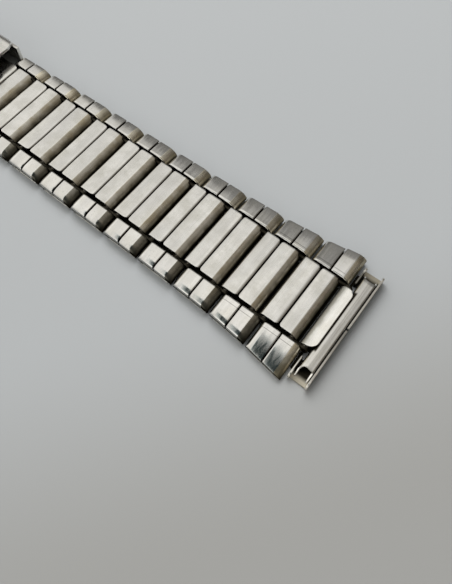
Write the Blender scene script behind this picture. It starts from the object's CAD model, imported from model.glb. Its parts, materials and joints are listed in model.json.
import json
import math

import bmesh
import bpy
from mathutils import Matrix, Vector, noise


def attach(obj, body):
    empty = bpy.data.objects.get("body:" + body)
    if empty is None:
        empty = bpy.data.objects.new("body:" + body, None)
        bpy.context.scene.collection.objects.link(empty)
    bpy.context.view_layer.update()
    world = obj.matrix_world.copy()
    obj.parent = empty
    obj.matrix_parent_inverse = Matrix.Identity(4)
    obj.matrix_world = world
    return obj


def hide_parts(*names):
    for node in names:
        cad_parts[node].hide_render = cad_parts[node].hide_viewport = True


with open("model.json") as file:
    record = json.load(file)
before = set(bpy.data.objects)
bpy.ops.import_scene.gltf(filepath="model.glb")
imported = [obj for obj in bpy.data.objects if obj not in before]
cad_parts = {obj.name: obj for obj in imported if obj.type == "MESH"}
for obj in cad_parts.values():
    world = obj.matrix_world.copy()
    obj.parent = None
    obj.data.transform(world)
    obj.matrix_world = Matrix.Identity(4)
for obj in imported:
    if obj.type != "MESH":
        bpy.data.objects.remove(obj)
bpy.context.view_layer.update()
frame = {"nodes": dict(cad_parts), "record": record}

# Sizes in millimetres. A row is drawn about its centre link's seam, with its end piece towards +X.
MM = 0.001
PITCH = 6.5
LONG_ROWS = 10
SHORT_ROWS = 5
HALVES = (("long", LONG_ROWS), ("short", SHORT_ROWS))
THICK = 2.0
SHEET = 0.3
GAP = 0.3
SEAM = 0.2
Y_AXIS = (0, 1, 0)

# Where the first row of each half lies, and the place of a piece that is copied where it is
LONG_X = 63.68
SHORT_X = -63.68
IN_PLACE = Matrix.Identity(4)

# The band's outline: half its width at the last side link, how it tapers and how it flares at the end
HALF_WIDTH = 8.95
TAPER = 1.15
TAPER_LENGTH = 65
FLARE = 1.65
FLARE_LENGTH = 6.2

# Centre links
CENTRE_HALF = 5.1
CENTRE_X0 = -2.78
CENTRE_X1 = 3.37
ADJUSTER_X0 = -7.28
FRONT_CORNER = 0.3
REAR_CORNER = 0.6
CENTRE_CUTS = (-4.9, -4, -3, -2, -1, 0, 1, 2, 3, 4, 4.9, 5.25)

# How far a centre link's flat reaches over the far slot, and the heights between which it does so
OVERHANG = 0.35
OVERHANG_LOW = 1.64
OVERHANG_HIGH = 1.7

# The strip under a centre link's front
LIP_SIZE = (0.6, 2 * CENTRE_HALF - 0.2, 0.12)
LIP_AT = (CENTRE_X1 - 0.1, 0, 0.08)

# Side links
SIDE_IN = 5.82
NEAR_IN = SIDE_IN - 0.19
SIDE_X0 = -1.73
SIDE_X1 = 4.47
SIDE_SEAM = 1.24
SIDE_SHEET = 0.26
WALL_FOOT = 0.42
LEAST_WALL = 0.02

# How far each seam has crept ahead on its row, and how far the caps of a row lean outwards, in degrees:
# near rear, near front, far rear and far front bar
SEAM_CREEP = (0.2, 0.0, -0.07, -0.1, 0.0, 0.1, 0.05, -0.05)
CAP_LEAN = (
    (8, 8, 6, 1),
    (3, 3, 6, 3.5),
    (4, 3, 5, 5),
    (2, 2, 5, 5),
    (3, 3, 5.5, 5.5),
    (2, 3, 5, 6),
    (3, 3, 3, 5),
    (4, 2, 3, 3),
)

# How the outer end of a cap is drawn down: distance from the edge and drop, then how much of each the far
# caps, the near caps and the near cap beside an end piece have
DRAWN_DOWN = ((1.5, 0.0), (1.2, 0.03), (0.9, 0.105), (0.6, 0.22), (0.35, 0.36), (0.15, 0.52), (0.0, 0.67))
FAR_DRAW = (1.0, 0.3)
NEAR_DRAW = (0.6, 0.5)
END_DRAW = (2.0, 1.0)

# How a cap's inner edge is turned down over the slot: distance from the edge and drop
TURNED_IN = ((0.0, 0.2), (0.04, 0.11), (0.1, 0.045), (0.17, 0.01), (0.27, 0), (0.4, 0))

# Pins and the plates that hold them. A bar has its two ends, foot and top.
NOSE_R = 0.85
FRONT_PIN = 2.57
NEXT_PIN = 4.57
PLATE_Y = (5.22, 5.62)
EYE_R = 0.7
PLATE_BARS = ((FRONT_PIN, NEXT_PIN, 0.3, 1.4), (-0.4, FRONT_PIN, 0.1, 0.7))

# End hook
HOOK_X0 = 3.72
TONGUE_X1 = 5.88
TONGUE_CORNER = 1.25
TONGUE_DROP = 0.12
TONGUE_SLOPE = 8
HOOK_CUTS = (-4.9, -4.5, -4, -3, -2, -1, 0, 1, 2, 3, 4, 4.5, 4.9)
FLANGE_HEIGHT = 1.3
FLANGE_MIDDLE = 0.75
STRIP_SIZE = (0.34, 2.6, 0.25)
STRIP_AT = (4.72, 7.0, 0.125)

# End tube
TUBE_X0 = 5.5
TUBE_X1 = 7.5
TUBE_FOOT = 0.35
TUBE_TOP = 1.845
TUBE_FRONT = 0.09
TUBE_REAR_R = 0.8
TUBE_FRONT_R = 0.3
TUBE_HALF = 7.55
TUBE_SLANT = 1.35
TUBE_SHEET = 0.25

# The free edges of sheets: distance from the edge and drop
FRONT_LIP = (
    (0.0, 0.06),
    (0.04, 0.03),
    (0.1, 0.01),
    (0.18, 0),
    (0.3, 0),
    (0.65, 0),
    (1.0, 0),
    (1.35, 0),
    (1.7, 0),
)
REAR_LIP = (
    (1.3, 0),
    (1.0, 0),
    (0.7, 0),
    (0.5, 0.005),
    (0.35, 0.02),
    (0.22, 0.05),
    (0.12, 0.09),
    (0.04, 0.15),
    (0, 0.22),
)
CAP_FRONT_LIP = ((0.0, 0.13), (0.05, 0.05), (0.12, 0.01), (0.2, 0))
CAP_REAR_LIP = ((0.15, 0), (0.06, 0.02), (0, 0.08))
TONGUE_LIP = (
    (0, 0.09),
    (0.03, 0.03),
    (0.08, 0),
    (0.16, 0.01),
    (0.26, 0.025),
    (0.4, 0.045),
    (0.6, 0.07),
    (0.8, 0.1),
)
TUBE_FOLD = ((0.95, 0.003), (1.08, 0.012), (1.13, 0.024), (1.19, 0.026), (1.3, 0.04), (1.42, 0.064))

# Bends of a piece's ends: radius, slope reached in degrees and straight length after it
FRONT_BENDS = ((0.6, 27, 0.3), (1.5, 60, 0))
REAR_BENDS = ((0.45, 50, 0),)
HOOK_BENDS = ((1.6, 45, 0),)
CAP_REAR_BENDS = ()

# Dents: how deep they are, from which row the centre links are worn more, how close the dents lie, and what
# sets those of the centre links apart from the side links'
DENT = 0.02
WORN_DENT = 0.045
FIRST_WORN_ROW = 5
SIDE_WAVES = 0.5
CENTRE_WAVES = 0.4
CENTRE_SEED = 20

# How far edges are rounded: those of thin sheet, most others, the tongue's and the clasp's
FINE_EDGE = 0.04
EDGE = 0.05
TONGUE_EDGE = 0.06
CLASP_EDGE = 0.08

# From which bend on, in degrees, an edge of a plain piece, of an end tube and of a pin or blade stays sharp
SHARP = 50
TUBE_SHARP = 35
SMALL_SHARP = 30

# Points nearer than this are one: those of a profile and those of a CAD node
SAME_POINT = 0.0001
SAME_CAD_POINT = 0.0005

# Sockets of a colour mix
MIX_FACTOR = 0
MIX_A = 6
MIX_B = 7
MIX_RESULT = 2

# Material slots: the inside of every folded piece, the rolled fronts of the links, a centre link's rear, a
# side link's plates, shaded roll and foot, and an end tube's rims
INSIDE = 1
ROLLED = 2
REAR = 3
PLATE = 3
SHADED = 4
FOOT = 5
RIM = 2

# Where those materials lie: the length of the rolled ends and how low they go, the foot of a wall, the
# underside, and how deep a tube's rims are and how squarely they face sideways
ROLL_LENGTH = 1.12
REAR_LENGTH = 0.8
ROLL_LOW = 0.4
FOOT_DEPTH = 0.08
FOOT_HIGH = 0.34
UNDERSIDE = 0.015
RIM_DEPTH = 0.1
RIM_FACING = 0.45


def band_half(d):
    """Half the band's width at a distance from the free edge of the last side link."""
    return HALF_WIDTH - TAPER * d / TAPER_LENGTH + FLARE / (1 + (d / FLARE_LENGTH) ** 2)


# Mesh helpers


def start(x, z):
    """A mesh of one vertex, which the rows of a profile are drawn from."""
    bm = bmesh.new()
    return bm, bm.verts.new((x, 0, z))


def line_to(bm, vert, x, z):
    grown = bmesh.ops.extrude_vert_indiv(bm, verts=[vert])["verts"][0]
    grown.co = (x, 0, z)
    return grown


def turn(bm, vert, centre, degrees, steps):
    """Carries the profile on round an arc. Positive turns +Z towards +X."""
    last = bmesh.ops.spin(
        bm,
        geom=[vert],
        cent=(centre[0], 0, centre[1]),
        axis=Y_AXIS,
        angle=math.radians(degrees),
        steps=steps,
        use_merge=False,
    )["geom_last"]
    return [g for g in last if isinstance(g, bmesh.types.BMVert)][0]


def roll(bm, vert, tip, side, bends, out, top=THICK, first=0):
    """Rolls a sheet down round an end at x = tip and on to the bottom. out False runs from the bottom up.

    Each bend is its radius, the slope that it reaches in degrees and the straight length after it. The last
    bend, round the nose, follows from the height that is left. first is the slope that the sheet comes in at.
    """
    x, z, slope = 0.0, top, first
    arcs = []
    for radius, reached, straight in bends:
        a, b = math.radians(slope), math.radians(reached)
        centre = (x - radius * math.sin(a), z - radius * math.cos(a))
        arcs.append((centre, radius, slope, reached))
        x = centre[0] + radius * math.sin(b) + straight * math.cos(b)
        z = centre[1] + radius * math.cos(b) - straight * math.sin(b)
        slope = reached
    a = math.radians(slope)
    nose_r = z / (1 + math.cos(a))
    nose_x = x - nose_r * math.sin(a)
    arcs.append(((nose_x, nose_r), nose_r, slope, 180))
    begin = tip - side * (nose_x + nose_r)
    if not out:
        arcs.reverse()
    for (cx, cz), radius, low, high in arcs:
        entry = math.radians(low if out else high)
        centre = (begin + side * cx, cz)
        vert = line_to(bm, vert, centre[0] + side * radius * math.sin(entry), cz + radius * math.cos(entry))
        angle = side * (high - low) if out else side * (low - high)
        vert = turn(bm, vert, centre, angle, max(4, round((high - low) * radius / 8)))
    return vert


def sweep_rows(bm, ys):
    """Extrudes the profile across the band, through each y in turn, and returns the rows of vertices."""
    bmesh.ops.remove_doubles(bm, verts=bm.verts[:], dist=SAME_POINT)
    bmesh.ops.translate(bm, verts=bm.verts[:], vec=(0, ys[0], 0))
    rows = [bm.verts[:]]
    edges = bm.edges[:]
    for y0, y1 in zip(ys, ys[1:]):
        made = bmesh.ops.extrude_edge_only(bm, edges=edges)["geom"]
        edges = [g for g in made if isinstance(g, bmesh.types.BMEdge)]
        verts = [g for g in made if isinstance(g, bmesh.types.BMVert)]
        bmesh.ops.translate(bm, verts=verts, vec=(0, y1 - y0, 0))
        edges = [e for e in edges if e.verts[0] in set(verts) and e.verts[1] in set(verts)]
        rows.append(verts)
    return rows


def round_corners(bm, edge_x, radius):
    """Rounds the two top corners of a sheet at its free edge, by drawing the ends of its rows in."""
    for v in bm.verts:
        d = abs(v.co.x - edge_x)
        if d < radius and v.co.z > THICK / 2:
            v.co.y -= math.copysign(radius - math.sqrt(radius**2 - (radius - d) ** 2), v.co.y)


def thicken(bm, sheet, rim=EDGE):
    """Gives a sheet its thickness, inwards, rounds its rims and marks the inside with material INSIDE."""
    bmesh.ops.recalc_face_normals(bm, faces=bm.faces[:])
    made = bmesh.ops.solidify(bm, geom=bm.faces[:], thickness=sheet)["geom"]
    bmesh.ops.recalc_face_normals(bm, faces=bm.faces[:])
    for f in made:
        if isinstance(f, bmesh.types.BMFace) and abs(f.normal.y) < 0.5:
            f.material_index = INSIDE
    ease(bm, rim, 50)


def mark_rolls(bm, tip, slot=ROLLED):
    """Gives the outside of the roll that ends at x = tip a material of its own."""
    for f in bm.faces:
        middle = f.calc_center_median()
        if f.material_index == 0 and middle.x > tip - ROLL_LENGTH and middle.z > ROLL_LOW:
            f.material_index = slot


def paint(bm, slot):
    for f in bm.faces:
        f.material_index = slot


def ease(bm, width, least=40, segments=2):
    """Rounds every edge that is sharper than an angle."""
    limit = math.radians(least)
    sharp = [e for e in bm.edges if len(e.link_faces) == 2 and e.calc_face_angle(0) > limit]
    bmesh.ops.bevel(
        bm,
        geom=sharp,
        offset=width,
        offset_type="OFFSET",
        segments=segments,
        profile=0.5,
        affect="EDGES",
        clamp_overlap=True,
        material=-1,
    )


def cut_across(bm, ys):
    for y in ys:
        geom = bm.verts[:] + bm.edges[:] + bm.faces[:]
        bmesh.ops.bisect_plane(bm, geom=geom, plane_co=(0, y, 0), plane_no=Y_AXIS)


def uneven(bm, seed, depth, scale):
    """Dents a mesh a little, as hand-worn sheet is, without leaving its box."""
    shift = Vector((seed * 7.3, seed * 3.1, seed * 5.7))
    for v in bm.verts:
        wave = noise.noise(v.co * scale + shift) - 0.5
        v.co.z += depth * wave * min(1, max(0, v.co.z))


def finish_piece(name, bm, materials, body, nodes, place, sharp=SHARP):
    """Turns a mesh in millimetres into a piece in its place, with its ride, nodes and slot.

    Where the materials hold under_steel, the flat underside gets it. Edges bent less than sharp look smooth.
    """
    if under_steel in materials:
        for f in bm.faces:
            if max(v.co.z for v in f.verts) < UNDERSIDE:
                f.material_index = materials.index(under_steel)
    bmesh.ops.transform(bm, matrix=place, verts=bm.verts[:])
    bmesh.ops.scale(bm, vec=(MM, MM, MM), verts=bm.verts[:])
    bmesh.ops.recalc_face_normals(bm, faces=bm.faces[:])
    limit = math.radians(sharp)
    for f in bm.faces:
        f.smooth = True
    for e in bm.edges:
        e.smooth = len(e.link_faces) == 2 and e.calc_face_angle(0) < limit
    mesh = bpy.data.meshes.new(name)
    bm.to_mesh(mesh)
    bm.free()
    for material in materials:
        mesh.materials.append(material)
    piece = bpy.data.objects.new(name, mesh)
    bpy.context.scene.collection.objects.link(piece)
    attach(piece, body)
    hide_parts(*nodes)
    return piece


def join(bm, other):
    """Moves another mesh into this one."""
    mesh = bpy.data.meshes.new("joined")
    other.to_mesh(mesh)
    other.free()
    bm.from_mesh(mesh)
    bpy.data.meshes.remove(mesh)


def block(size, middle, rounding=0.0):
    """A box with rounded edges."""
    bm = bmesh.new()
    bmesh.ops.create_cube(bm, size=1)
    bmesh.ops.scale(bm, vec=size, verts=bm.verts[:])
    bmesh.ops.translate(bm, vec=middle, verts=bm.verts[:])
    if rounding:
        ease(bm, rounding)
    return bm


def eased_copy(node, width, least=40):
    """The sheet-metal form of a CAD node in millimetres, with its sharp edges rounded."""
    bm = bmesh.new()
    bm.from_mesh(frame["nodes"][node].data)
    bmesh.ops.scale(bm, vec=(1 / MM, 1 / MM, 1 / MM), verts=bm.verts[:])
    bmesh.ops.remove_doubles(bm, verts=bm.verts[:], dist=SAME_CAD_POINT)
    bmesh.ops.dissolve_limit(bm, angle_limit=math.radians(1), verts=bm.verts[:], edges=bm.edges[:])
    ease(bm, width, least)
    paint(bm, 0)
    return bm


def place_row(half, i):
    """The place of row i of a half, counted from its end piece."""
    if half == "long":
        return Matrix.Translation((LONG_X - (i - 1) * PITCH, 0, 0))
    return Matrix.Translation((SHORT_X + (i - 1) * PITCH, 0, 0)) @ Matrix.Rotation(math.pi, 4, "Z")


# Pieces


def centre_link(x0=CENTRE_X0, creep=0.0):
    """A strip folded into a flat tube: rolled at both ends, with its two edges meeting on top."""
    ahead = creep + SEAM / 2
    behind = creep - SEAM / 2
    bm, vert = start(ahead, THICK - FRONT_LIP[0][1])
    for forward, down in FRONT_LIP[1:]:
        vert = line_to(bm, vert, ahead + forward, THICK - down)
    vert = roll(bm, vert, CENTRE_X1, 1, FRONT_BENDS, True)
    vert = roll(bm, vert, x0, -1, REAR_BENDS, False)
    for back, down in REAR_LIP:
        vert = line_to(bm, vert, behind - back, THICK - down)
    sweep_rows(bm, [-CENTRE_HALF, CENTRE_HALF])
    thicken(bm, SHEET)
    for v in bm.verts:
        if v.co.y > 0:
            v.co.y += OVERHANG * min(1, max(0, (v.co.z - OVERHANG_LOW) / (OVERHANG_HIGH - OVERHANG_LOW)))
    round_corners(bm, ahead, FRONT_CORNER)
    round_corners(bm, behind, REAR_CORNER)
    mark_rolls(bm, CENTRE_X1)
    for f in bm.faces:
        middle = f.calc_center_median()
        if f.material_index == 0 and middle.x < x0 + REAR_LENGTH and middle.z > ROLL_LOW:
            f.material_index = REAR
    cut_across(bm, CENTRE_CUTS)
    lip = block(LIP_SIZE, LIP_AT)
    paint(lip, INSIDE)
    join(bm, lip)
    return bm


def end_hook():
    """A tab folded round the last pin, with a rounded tongue, a flange by the tube and two side strips."""
    bm, vert = start(TONGUE_X1, THICK - TONGUE_LIP[0][1])
    for back, down in TONGUE_LIP[1:]:
        vert = line_to(bm, vert, TONGUE_X1 - back, THICK - down)
    vert = roll(bm, vert, HOOK_X0, -1, HOOK_BENDS, True, THICK - TONGUE_DROP, TONGUE_SLOPE)
    line_to(bm, vert, TUBE_X0, 0)
    sweep_rows(bm, [-CENTRE_HALF, CENTRE_HALF])
    round_corners(bm, TONGUE_X1, TONGUE_CORNER)
    thicken(bm, SHEET, TONGUE_EDGE)
    cut_across(bm, HOOK_CUTS)
    flange_size = (SHEET, 2 * (CENTRE_HALF - TONGUE_CORNER), FLANGE_HEIGHT)
    join(bm, block(flange_size, (TUBE_X0 - SHEET / 2, 0, FLANGE_MIDDLE), EDGE))
    x, y, z = STRIP_AT
    for side in (-1, 1):
        strip = block(STRIP_SIZE, (x, side * y, z), FINE_EDGE)
        paint(strip, INSIDE)
        join(bm, strip)
    return bm


def end_tube():
    """An arched trough for the lug's bar: a round rear shoulder, a soft top and a tighter front shoulder."""
    bm, vert = start(TUBE_X0, TUBE_FOOT)
    vert = line_to(bm, vert, TUBE_X0, TUBE_TOP - TUBE_REAR_R)
    vert = turn(bm, vert, (TUBE_X0 + TUBE_REAR_R, TUBE_TOP - TUBE_REAR_R), 90, 10)
    for along, down in TUBE_FOLD:
        vert = line_to(bm, vert, TUBE_X0 + along, TUBE_TOP - down)
    front_x = TUBE_X1 - TUBE_FRONT_R
    vert = line_to(bm, vert, front_x, TUBE_TOP - TUBE_FRONT)
    vert = turn(bm, vert, (front_x, TUBE_TOP - TUBE_FRONT - TUBE_FRONT_R), 90, 8)
    line_to(bm, vert, TUBE_X1, TUBE_FOOT)
    rows = sweep_rows(bm, [-1, 1])
    for side, row in zip((-1, 1), rows):
        for v in row:
            v.co.y = side * (TUBE_HALF + TUBE_SLANT * (TUBE_TOP - v.co.z) / (TUBE_TOP - TUBE_FOOT))
    thicken(bm, TUBE_SHEET, FINE_EDGE)
    for f in bm.faces:
        if abs(f.calc_center_median().y) > TUBE_HALF - RIM_DEPTH and abs(f.normal.y) > RIM_FACING:
            f.material_index = RIM
    cut_across(bm, range(-7, 8))
    return bm


def side_tube(w0, w1, lean, inner_y, reach, fall, rolled):
    """One side of a row: a folded tube whose outer end is drawn down to a wall.

    w0 and w1 are the band's half widths at its rear and front, and lean the slopes of its rear and front bars
    in degrees. inner_y is where its inner edge lies. reach and fall scale the length and depth of the draw at
    its outer end. rolled is its roll's material slot.
    """
    bm, vert = start(SIDE_SEAM + SEAM / 2, THICK - CAP_FRONT_LIP[0][1])
    for forward, down in CAP_FRONT_LIP[1:]:
        vert = line_to(bm, vert, SIDE_SEAM + SEAM / 2 + forward, THICK - down)
    vert = roll(bm, vert, SIDE_X1, 1, FRONT_BENDS, True)
    vert = roll(bm, vert, SIDE_X0, -1, CAP_REAR_BENDS, False)
    for back, down in CAP_REAR_LIP:
        vert = line_to(bm, vert, SIDE_SEAM - SEAM / 2 - back, THICK - down)
    inner = len(TURNED_IN)
    rows = sweep_rows(bm, list(range(inner + 1 + len(DRAWN_DOWN))))

    def edge(x):
        return w0 + (w1 - w0) * (x - SIDE_X0) / (SIDE_X1 - SIDE_X0)

    for row, (outward, drop) in zip(rows, TURNED_IN):
        for v in row:
            v.co.y = inner_y + outward
            v.co.z *= 1 - drop / THICK
    drawn = reach * DRAWN_DOWN[0][0]
    for v in rows[inner]:
        v.co.y = (inner_y + TURNED_IN[-1][0] + edge(v.co.x) - drawn) / 2
    for row, (inset, drop) in zip(rows[inner + 1 :], DRAWN_DOWN):
        for v in row:
            v.co.y = edge(v.co.x) - reach * inset
            v.co.z *= 1 - fall * drop / THICK
    for v in bm.verts:
        slope = math.tan(math.radians(lean[0] if v.co.x < SIDE_SEAM else lean[1]))
        level = edge(v.co.x) - drawn
        past = max(0.0, v.co.y - level)
        sunk = slope * (max(SIDE_IN, min(v.co.y, level)) - SIDE_IN + past - past**2 / (2 * drawn))
        v.co.z *= 1 - sunk / THICK
    last = set(rows[-1])
    noses = (min(last, key=lambda v: v.co.x).co.z, max(last, key=lambda v: v.co.x).co.z)
    rim = [e for e in bm.edges if e.verts[0] in last and e.verts[1] in last]
    rim = [e for e in rim if abs(e.verts[0].co.x - e.verts[1].co.x) > LEAST_WALL]
    rim = [e for e in rim if min(v.co.z for v in e.verts) >= noses[e.verts[0].co.x > SIDE_SEAM]]
    made = bmesh.ops.extrude_edge_only(bm, edges=rim)["geom"]
    for g in made:
        if isinstance(g, bmesh.types.BMVert):
            g.co.z = WALL_FOOT
    thicken(bm, SIDE_SHEET)
    for v in bm.verts:
        v.co.x = min(max(v.co.x, SIDE_X0), SIDE_X1)
        v.co.y = min(v.co.y, edge(v.co.x))
    mark_rolls(bm, SIDE_X1, rolled)
    for f in bm.faces:
        middle = f.calc_center_median()
        if middle.y > edge(middle.x) - FOOT_DEPTH and middle.z < FOOT_HIGH:
            f.material_index = FOOT
    return bm


def link_plate(bm):
    """Adds the plate with two eyes that lies in the slot beside the centre links."""
    plate = bmesh.new()
    thick = PLATE_Y[1] - PLATE_Y[0]
    middle = (PLATE_Y[0] + PLATE_Y[1]) / 2
    turned = Matrix.Rotation(math.pi / 2, 4, "X")
    for x in (FRONT_PIN, NEXT_PIN):
        eye = bmesh.new()
        bmesh.ops.create_cone(
            eye,
            cap_ends=True,
            segments=32,
            radius1=EYE_R,
            radius2=EYE_R,
            depth=thick,
            matrix=Matrix.Translation((x, middle, NOSE_R)) @ turned,
        )
        ease(eye, EDGE)
        join(plate, eye)
    for x0, x1, foot, top in PLATE_BARS:
        size = (x1 - x0, thick, top - foot)
        join(plate, block(size, ((x0 + x1) / 2, middle, (foot + top) / 2), EDGE))
    paint(plate, PLATE)
    join(bm, plate)


# Materials


def add(tree, kind, values=None, links=None, **settings):
    """Adds a shader node, sets its sockets and links other nodes' outputs to them."""
    made = tree.nodes.new(kind)
    for key, value in settings.items():
        setattr(made, key, value)
    for socket, value in (values or {}).items():
        made.inputs[socket].default_value = value
    for socket, source in (links or {}).items():
        tree.links.new(source, made.inputs[socket])
    return made


def shared(name, inputs, outputs):
    """A node group with named sockets, for an effect that several finishes use."""
    tree = bpy.data.node_groups.new(name, "ShaderNodeTree")
    for socket, kind in inputs:
        tree.interface.new_socket(socket, in_out="INPUT", socket_type=kind)
    for socket, kind in outputs:
        tree.interface.new_socket(socket, in_out="OUTPUT", socket_type=kind)
    return tree, tree.nodes.new("NodeGroupInput"), tree.nodes.new("NodeGroupOutput")


def ramp(tree, source, low, high, to_low=0.0, to_high=1.0):
    """Maps a value smoothly from one range to another."""
    return add(
        tree,
        "ShaderNodeMapRange",
        {"From Min": low, "From Max": high, "To Min": to_low, "To Max": to_high},
        {"Value": source},
        interpolation_type="SMOOTHSTEP",
    ).outputs["Result"]


def compute(tree, how, *values):
    """What a maths node makes of other nodes' values."""
    return add(tree, "ShaderNodeMath", links=dict(enumerate(values)), operation=how).outputs["Value"]


def blend(tree, a, b, mask):
    """A colour between two others, each of which is given or comes from a node."""
    mixed = add(tree, "ShaderNodeMix", links={MIX_FACTOR: mask}, data_type="RGBA")
    for socket, source in ((MIX_A, a), (MIX_B, b)):
        if isinstance(source, tuple):
            mixed.inputs[socket].default_value = (*source, 1)
        else:
            tree.links.new(source, mixed.inputs[socket])
    return mixed.outputs[MIX_RESULT]


def cloud_of(tree, where, scale, detail, **values):
    """Noise of a scale, in lumps per metre."""
    values = {"Scale": scale, "Detail": detail, **values}
    return add(tree, "ShaderNodeTexNoise", values, {"Vector": where}).outputs["Fac"]


def brush_marks():
    """Fine and coarse brush lines. The vector is stretched along the lines before it comes in."""
    effects = [(n, "NodeSocketFloat") for n in ("Height", "Streaks")]
    tree, given, out = shared("brush_marks", [("Vector", "NodeSocketVector")], effects)
    fine = cloud_of(tree, given.outputs["Vector"], 9000.0, 3.0)
    broad = cloud_of(tree, given.outputs["Vector"], 2200.0, 2.0)
    height = add(tree, "ShaderNodeMath", {1: 0.6}, {0: fine, 2: broad}, operation="MULTIPLY_ADD")
    tree.links.new(height.outputs["Value"], out.inputs["Height"])
    tree.links.new(ramp(tree, broad, 0.3, 0.7), out.inputs["Streaks"])
    return tree


def low_stain():
    """Stain or grime that gathers low on the rolled ends and in the gaps, with a ragged edge."""
    heights = [(n, "NodeSocketFloat") for n in ("Clean above", "Full below", "Ragged")]
    tree, given, out = shared(
        "low_stain", [("Vector", "NodeSocketVector")] + heights, [("Mask", "NodeSocketFloat")]
    )
    parts = add(tree, "ShaderNodeSeparateXYZ", links={"Vector": given.outputs["Vector"]})
    cloud = cloud_of(tree, given.outputs["Vector"], 900.0, 4.0)
    wave = add(tree, "ShaderNodeMath", {1: 0.5}, {0: cloud}, operation="SUBTRACT")
    level = add(
        tree,
        "ShaderNodeMath",
        links={0: wave.outputs["Value"], 1: given.outputs["Ragged"], 2: parts.outputs["Z"]},
        operation="MULTIPLY_ADD",
    )
    mask = add(
        tree,
        "ShaderNodeMapRange",
        {"To Min": 1.0, "To Max": 0.0},
        {
            "Value": level.outputs["Value"],
            "From Min": given.outputs["Full below"],
            "From Max": given.outputs["Clean above"],
        },
        interpolation_type="SMOOTHSTEP",
    )
    tree.links.new(mask.outputs["Result"], out.inputs["Mask"])
    return tree


def cloudy():
    """Faint blotches, specks and long soft bands, as on handled metal."""
    effects = [(n, "NodeSocketFloat") for n in ("Blotch", "Specks", "Bands")]
    tree, given, out = shared("cloudy", [("Vector", "NodeSocketVector")], effects)
    here = given.outputs["Vector"]
    along = add(tree, "ShaderNodeMapping", {"Scale": (1.0, 0.22, 0.3)}, {"Vector": here}).outputs["Vector"]
    band = cloud_of(tree, along, 480.0, 2.0)
    blotch = cloud_of(tree, here, 420.0, 5.0, Roughness=0.6)
    speck = cloud_of(tree, here, 3200.0, 2.0)
    tree.links.new(ramp(tree, band, 0.36, 0.68, 0.0, 0.6), out.inputs["Bands"])
    tree.links.new(ramp(tree, blotch, 0.3, 0.7), out.inputs["Blotch"])
    tree.links.new(ramp(tree, speck, 0.62, 0.75, 0.0, 0.5), out.inputs["Specks"])
    return tree


BRUSH = brush_marks()
STAIN = low_stain()
CLOUD = cloudy()


def part_of(tree, here, axis):
    """A point's place along an axis."""
    return add(tree, "ShaderNodeSeparateXYZ", links={"Vector": here}).outputs[axis]


def off_middle(tree, here, axis):
    """A point's distance from the band's middle along an axis: X runs along the band and Y across it."""
    return compute(tree, "ABSOLUTE", part_of(tree, here, axis))


# Grime of single pieces. Each mask is a product or maximum of ramps between two places in metres.


def tray_crevice(tree, here):
    """Dark low in a sleeve's trough and on its walls, up to just short of its outer end."""
    along = off_middle(tree, here, "X")
    across = off_middle(tree, here, "Y")
    behind_tube = compute(
        tree, "MULTIPLY", ramp(tree, along, 0.06877, 0.06885), ramp(tree, along, 0.0700, 0.0698)
    )
    front_wall = ramp(tree, along, 0.0711, 0.0712, 0.0, 0.35)
    low = ramp(tree, part_of(tree, here, "Z"), 0.0012, 0.0007)
    trough = compute(tree, "MAXIMUM", low, compute(tree, "MAXIMUM", behind_tube, front_wall))
    rear_wall = ramp(tree, along, 0.06893, 0.06889, 0.0, 0.8)
    diagonal = compute(tree, "MULTIPLY", part_of(tree, here, "X"), part_of(tree, here, "Y"))
    far_side = ramp(tree, diagonal, 0.0, 0.0001)
    worn = compute(tree, "MAXIMUM", trough, compute(tree, "MULTIPLY", rear_wall, far_side))
    return compute(tree, "MULTIPLY", worn, ramp(tree, across, 0.0091, 0.0083))


def cap_crevice(tree, here):
    """A fine pressed line across the caps next to an end piece, just outside the slot."""
    across = off_middle(tree, here, "Y")
    line = compute(
        tree, "MULTIPLY", ramp(tree, across, 0.00640, 0.00645), ramp(tree, across, 0.00655, 0.00649)
    )
    by_the_end = ramp(tree, off_middle(tree, here, "X"), 0.0545, 0.0555, 0.0, 0.45)
    return compute(tree, "MULTIPLY", line, by_the_end)


def roll_crevice(tree, here):
    """A film of grime on the rolled ends, heavier towards the clasp."""
    return ramp(tree, off_middle(tree, here, "X"), 0.05, 0.015, 0.0, 0.25)


def tube_crevice(tree, here):
    """Dark beside the tongue's edge and low on the tube's rear legs."""
    along = off_middle(tree, here, "X")
    across = off_middle(tree, here, "Y")
    tongue = compute(
        tree, "MULTIPLY", ramp(tree, along, 0.06988, 0.06972), ramp(tree, across, 0.0053, 0.0049)
    )
    low = ramp(tree, part_of(tree, here, "Z"), 0.0014, 0.0009)
    legs = compute(tree, "MULTIPLY", low, ramp(tree, across, 0.0078, 0.0076))
    rear_legs = compute(tree, "MULTIPLY", legs, ramp(tree, along, 0.0703, 0.07))
    return compute(tree, "MAXIMUM", tongue, rear_legs)


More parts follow.
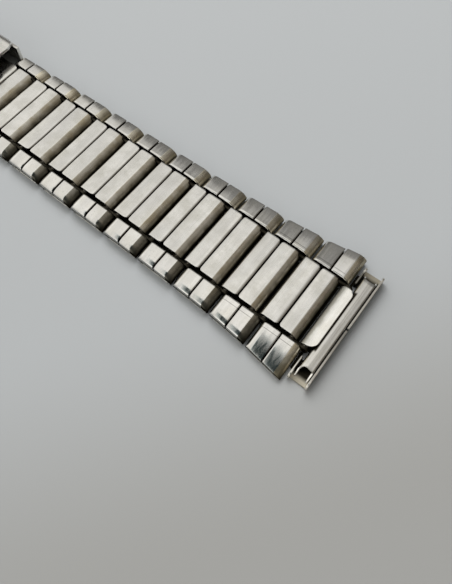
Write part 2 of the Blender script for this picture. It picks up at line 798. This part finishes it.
def steel(
    name,
    colour,
    stain,
    rough,
    grain,
    stained=(0.0017, 0.0009),
    grime=(0.0015, 0.001),
    crevice=None,
    mottle=(0.88, 0.87, 0.84),
    bump=0.000004,
    ragged=0.001,
):
    """Worn stainless steel.

    grain is how much each axis is squeezed, so that brush lines run along the smallest, and bump their depth.
    stained and grime each hold two heights in metres: there is none above the first and nothing else below
    the second. ragged is how uneven the stain's edge is, crevice says where more grime lies, and mottle tones
    the blotches.
    """
    material = bpy.data.materials.new(name)
    material.use_nodes = True
    tree = material.node_tree
    shader = tree.nodes["Principled BSDF"]
    shader.inputs["Metallic"].default_value = 1
    here = add(tree, "ShaderNodeTexCoord").outputs["Object"]
    drawn = add(tree, "ShaderNodeMapping", {"Scale": grain}, {"Vector": here}).outputs["Vector"]
    brush = add(tree, "ShaderNodeGroup", node_tree=BRUSH)
    tree.links.new(drawn, brush.inputs["Vector"])
    cloud = add(tree, "ShaderNodeGroup", node_tree=CLOUD)
    tree.links.new(here, cloud.inputs["Vector"])

    def gathered(clean, full, unevenness):
        group = add(tree, "ShaderNodeGroup", node_tree=STAIN)
        tree.links.new(here, group.inputs["Vector"])
        group.inputs["Clean above"].default_value = clean
        group.inputs["Full below"].default_value = full
        group.inputs["Ragged"].default_value = unevenness
        return group.outputs["Mask"]

    def toned(factors):
        return tuple(c * f for c, f in zip(colour, factors))

    low = gathered(*stained, ragged)
    # Grime's colour has a ragged edge, and its lack of shine follows from height alone
    dirt = gathered(*grime, GRIME_RAGGED)
    dull = ramp(tree, part_of(tree, here, "Z"), *grime)
    if crevice:
        worn_in = crevice(tree, here)
        dirt = compute(tree, "MAXIMUM", dirt, worn_in)
        dull = compute(tree, "MAXIMUM", dull, worn_in)
    base = blend(tree, colour, toned(mottle), cloud.outputs["Blotch"])
    base = blend(tree, base, toned(BANDED), cloud.outputs["Bands"])
    base = blend(tree, base, toned(SPECKED), cloud.outputs["Specks"])
    base = blend(tree, base, stain, low)
    tree.links.new(blend(tree, base, GRIME, dirt), shader.inputs["Base Color"])
    tree.links.new(blend(tree, (1.0, 1.0, 1.0), GRIME_SHINE, dull), shader.inputs["Specular Tint"])
    streaked = ramp(tree, brush.outputs["Streaks"], 0.0, 1.0, rough - SMOOTHER, rough + ROUGHER)
    worn = add(tree, "ShaderNodeMath", {1: STAIN_ROUGH}, {0: low, 2: streaked}, operation="MULTIPLY_ADD")
    tree.links.new(worn.outputs["Value"], shader.inputs["Roughness"])
    depth = {"Strength": 1.0, "Distance": bump}
    relief = add(tree, "ShaderNodeBump", depth, {"Height": brush.outputs["Height"]})
    tree.links.new(relief.outputs["Normal"], shader.inputs["Normal"])
    return material


# The way the brush lines run, heights no grime reaches, colours, and what roughness the brush lines and a
# stain add
ALONG_Y = (1.0, 0.05, 1.0)
ALONG_X = (0.05, 1.0, 1.0)
CLEAN = (-0.0006, -0.001)
WARM = (0.76, 0.745, 0.71)
DULL = (0.62, 0.6, 0.55)
BROWN = (0.30, 0.26, 0.20)
GRIME = (0.03, 0.026, 0.018)
GRIME_SHINE = (0.05, 0.05, 0.04)
GRIME_RAGGED = 0.0003
BANDED = (0.8, 0.8, 0.81)
SPECKED = (0.7, 0.7, 0.7)
SMOOTHER = 0.05
ROUGHER = 0.06
STAIN_ROUGH = 0.22

link_steel = steel(
    "link_steel",
    (0.785, 0.77, 0.732),
    DULL,
    0.22,
    ALONG_Y,
    grime=(0.0012, 0.0007),
    mottle=(0.78, 0.775, 0.75),
)
rear_steel = steel("rear_steel", WARM, (0.6, 0.58, 0.52), 0.26, ALONG_Y, grime=(0.0009, 0.0004))
roll_steel = steel(
    "roll_steel",
    (0.8, 0.77, 0.69),
    (0.42, 0.375, 0.28),
    0.26,
    ALONG_Y,
    stained=(0.0019, 0.0011),
    grime=(0.0018, 0.0011),
    crevice=roll_crevice,
    mottle=(0.6, 0.54, 0.42),
)
cap_steel = steel(
    "cap_steel",
    WARM,
    DULL,
    0.17,
    ALONG_Y,
    stained=(0.0012, 0.0005),
    grime=(0.0009, 0.0005),
    crevice=cap_crevice,
)
cap_roll_steel = steel(
    "cap_roll_steel",
    (1.0, 0.965, 0.85),
    (0.42, 0.37, 0.26),
    0.24,
    ALONG_Y,
    stained=(0.0018, 0.001),
    grime=(0.0011, 0.0004),
    mottle=(0.76, 0.7, 0.58),
)
shaded_steel = steel(
    "shaded_steel",
    (0.36, 0.345, 0.3),
    (0.16, 0.15, 0.12),
    0.24,
    ALONG_X,
    stained=(0.0019, 0.0013),
    grime=(0.0016, 0.001),
    mottle=(0.6, 0.57, 0.5),
)
rim_steel = steel(
    "rim_steel", (0.95, 0.93, 0.88), (0.8, 0.77, 0.7), 0.2, ALONG_Y, (0.0004, 0.0001), CLEAN
)
inside_steel = steel("inside_steel", (0.05, 0.045, 0.036), GRIME, 0.5, ALONG_Y)
plate_steel = steel("plate_steel", (0.06, 0.054, 0.042), GRIME, 0.5, ALONG_X, (0.0016, 0.0012))
hook_steel = steel(
    "hook_steel",
    (0.98, 0.965, 0.92),
    (0.5, 0.49, 0.44),
    0.22,
    ALONG_Y,
    stained=(0.00187, 0.00166),
    ragged=0.0002,
)
tube_steel = steel(
    "tube_steel",
    (0.72, 0.705, 0.67),
    (0.5, 0.47, 0.4),
    0.26,
    ALONG_Y,
    stained=(0.0008, 0.0001),
    grime=CLEAN,
    crevice=tube_crevice,
)
tray_steel = steel(
    "tray_steel",
    (0.85, 0.82, 0.75),
    (0.66, 0.61, 0.5),
    0.36,
    ALONG_Y,
    stained=(0.0013, 0.0003),
    grime=CLEAN,
    crevice=tray_crevice,
)
pin_steel = steel("pin_steel", (0.30, 0.28, 0.25), BROWN, 0.35, ALONG_Y)
cover_steel = steel("cover_steel", WARM, DULL, 0.24, ALONG_X, (0.002, 0.0001), CLEAN)
blade_steel = steel(
    "blade_steel",
    (0.74, 0.735, 0.72),
    (0.6, 0.59, 0.55),
    0.16,
    ALONG_X,
    stained=(0.0004, 0.0001),
    grime=CLEAN,
    bump=0.000002,
)
under_steel = steel("under_steel", WARM, (0.6, 0.58, 0.53), 0.2, ALONG_Y, grime=CLEAN)

# The materials of each kind of piece, in the order of its slots
FOLDED = [link_steel, inside_steel, roll_steel, rear_steel, under_steel]
PRESSED = [cap_steel, inside_steel, cap_roll_steel, plate_steel, shaded_steel, rim_steel, under_steel]
HOOKED = [hook_steel, inside_steel, under_steel]
ARCHED = [tube_steel, inside_steel, rim_steel]
TROUGH = [tray_steel, under_steel]

FINISH = {
    "side_links": cap_steel,
    "centre_links": link_steel,
    "pins": pin_steel,
    "end_hooks": hook_steel,
    "end_tubes": tube_steel,
    "sleeves": tray_steel,
    "clasp_cover": cover_steel,
    "blades": blade_steel,
}
for part in frame["record"]["subparts"]:
    cad = frame["nodes"][part["node"]]
    cad.data.materials.clear()
    cad.data.materials.append(FINISH[part["material_slot"]])

# Rows

for half, count in HALVES:
    for i in range(1, count + 1):
        place = place_row(half, i)
        w0 = band_half(i * PITCH - GAP)
        w1 = band_half((i - 1) * PITCH)
        lean = CAP_LEAN[(i - 1) % len(CAP_LEAN)]
        near_end = (*END_DRAW, ROLLED) if i == 1 else (*NEAR_DRAW, SHADED)
        bm = side_tube(w0, w1, lean[2:], SIDE_IN, *FAR_DRAW, ROLLED)
        near = side_tube(w0, w1, lean[:2], NEAR_IN, *near_end)
        link_plate(bm)
        link_plate(near)
        bmesh.ops.scale(near, vec=(1, -1, 1), verts=near.verts[:])
        bmesh.ops.reverse_faces(near, faces=near.faces[:])
        join(bm, near)
        uneven(bm, i, DENT, SIDE_WAVES)
        name = f"{half}_side_link_{i:02d}"
        finish_piece(f"{name}_pressed", bm, PRESSED, f"{half}_row_{i:02d}", [name], place)
        if half == "short" or i < LONG_ROWS:
            bm = centre_link(creep=SEAM_CREEP[(i - 1) % len(SEAM_CREEP)])
            uneven(bm, i + CENTRE_SEED, DENT if i < FIRST_WORN_ROW else WORN_DENT, CENTRE_WAVES)
            name = f"{half}_centre_link_{i:02d}"
            body = f"{half}_centre_{i:02d}"
            finish_piece(f"{name}_folded", bm, FOLDED, body, [name], place)

bm = centre_link(ADJUSTER_X0)
place = place_row("long", LONG_ROWS)
finish_piece("adjuster_folded", bm, FOLDED, "adjuster_link", ["adjuster_link"], place)

# End pieces

for half in ("long", "short"):
    place = place_row(half, 1)
    body = f"{half}_end"
    node = f"{half}_end_hook"
    finish_piece(f"{half}_hook_folded", end_hook(), HOOKED, body, [node], place)
    node = f"{half}_end_tube"
    finish_piece(f"{half}_tube_arched", end_tube(), ARCHED, body, [node], place, TUBE_SHARP)
    for side in ("a", "b"):
        node = f"{half}_end_sleeve_{side}"
        body = f"{half}_sleeve_{side}"
        finish_piece(f"{body}_bent", eased_copy(node, EDGE), TROUGH, body, [node], IN_PLACE)

# Clasp and pins

CLASP_BODIES = {
    "clasp_cover": "clasp_cover",
    "cover_hinge_pin": "clasp_cover",
    "spring_bar": "clasp_cover",
    "upper_blade": "upper_blade",
    "lower_blade": "lower_blade",
    "blade_hinge_pin": "lower_blade",
    "blade_end_pin": "lower_blade",
}
for node, body in CLASP_BODIES.items():
    kind = node if node == "clasp_cover" else "blades" if node.endswith("blade") else "pins"
    bm = eased_copy(node, CLASP_EDGE)
    finish_piece(f"{node}_worn", bm, [FINISH[kind]], body, [node], IN_PLACE, SMALL_SHARP)
for half, count in HALVES:
    for i in range(1, count + 1):
        node = f"{half}_link_pins_{i:02d}"
        body = f"{half}_row_{i:02d}"
        bm = eased_copy(node, EDGE)
        finish_piece(f"{node}_worn", bm, [pin_steel], body, [node], IN_PLACE, SMALL_SHARP)

# Floor, light and camera

scene = bpy.context.scene
scene.view_settings.view_transform = "Standard"

floor_mesh = bpy.data.meshes.new("floor")
floor_bm = bmesh.new()
bmesh.ops.create_grid(floor_bm, x_segments=1, y_segments=1, size=1.0)
floor_bm.to_mesh(floor_mesh)
floor_bm.free()
floor = bpy.data.objects.new("floor", floor_mesh)
scene.collection.objects.link(floor)
floor_material = bpy.data.materials.new("floor_paper")
floor_material.use_nodes = True
floor_shader = floor_material.node_tree.nodes["Principled BSDF"]
floor_tree = floor_material.node_tree
floor_place = add(floor_tree, "ShaderNodeTexCoord").outputs["Object"]
toward_corner = add(
    floor_tree, "ShaderNodeVectorMath", {1: (0.805, -0.593, 0)}, {0: floor_place}, operation="DOT_PRODUCT"
)
floor_shade = ramp(floor_tree, toward_corner.outputs["Value"], 0.046, 0.08)
floor_tone = blend(floor_tree, (0.476, 0.493, 0.504), (0.385, 0.384, 0.373), floor_shade)
floor_tree.links.new(floor_tone, floor_shader.inputs["Base Color"])
floor_shader.inputs["Roughness"].default_value = 0.9
floor_mesh.materials.append(floor_material)

world = bpy.data.worlds.new("studio")
world.use_nodes = True
sky = world.node_tree
toward = add(sky, "ShaderNodeTexCoord").outputs["Generated"]
sides = add(sky, "ShaderNodeSeparateXYZ", links={"Vector": toward}).outputs


def product(*values):
    """Several values of the sky's nodes multiplied."""
    result = values[0]
    for value in values[1:]:
        result = compute(sky, "MULTIPLY", result, value)
    return result


# How bright the room is in each direction: ramps between two values of a side, from -1 to 1
far_window = product(
    ramp(sky, sides["X"], -0.6, -0.1, 0.86, 1.0), ramp(sky, sides["X"], -0.95, -0.6, 1.5, 1.0)
)
dark_side = product(ramp(sky, sides["X"], -0.05, 0.4, 1.0, 0.4), ramp(sky, sides["X"], 0.4, 1.0, 1.0, 0.33))
above_table = ramp(sky, sides["Z"], -0.1, 0.8, 0.45, 1.0)
back_wall = product(ramp(sky, sides["Y"], 0.5, 0.6, 1.0, 0.28), ramp(sky, sides["Y"], 0.2, 0.36, 1.14, 1.0))
near_edge = ramp(sky, sides["Y"], -0.95, -0.7, 1.7, 1.0)
room = product(dark_side, above_table, back_wall, near_edge, far_window)
overhead = product(ramp(sky, sides["Y"], -0.01, -0.11), ramp(sky, sides["Y"], -0.82, -0.62))
beside_camera = product(ramp(sky, sides["X"], -0.37, -0.2), overhead)
level = product(room, ramp(sky, beside_camera, 0.0, 1.0, 1.0, 0.05))
tint = blend(sky, (1.0, 0.90, 0.76), (1.0, 0.99, 0.96), ramp(sky, dark_side, 0.1, 0.7))
tint = blend(sky, tint, (0.7, 0.92, 0.95), beside_camera)
sky.links.new(tint, sky.nodes["Background"].inputs["Color"])
sky.links.new(level, sky.nodes["Background"].inputs["Strength"])
scene.world = world


def softbox(name, place, aim, size, power):
    light = bpy.data.lights.new(name, "AREA")
    light.shape = "RECTANGLE"
    light.size, light.size_y = size
    light.energy = power
    lamp = bpy.data.objects.new(name, light)
    lamp.location = place
    lamp.rotation_euler = (Vector(aim) - Vector(place)).to_track_quat("-Z", "Y").to_euler()
    lamp.visible_glossy = False
    scene.collection.objects.link(lamp)


softbox("window", (-0.25, 0.3, 0.45), (0.05, 0, 0), (0.5, 0.4), 3.0)

lens = bpy.data.cameras.new("camera")
lens.sensor_fit = "HORIZONTAL"
lens.sensor_width = 36
lens.lens = 44.14
lens.shift_y = -0.0015
lens.clip_start = 0.001
camera = bpy.data.objects.new("camera", lens)
camera.location = (0.072941, -0.029313, 0.070128)
camera.rotation_euler = [math.radians(a) for a in (23.3946, -0.5400, 37.2692)]
scene.collection.objects.link(camera)
scene.camera = camera
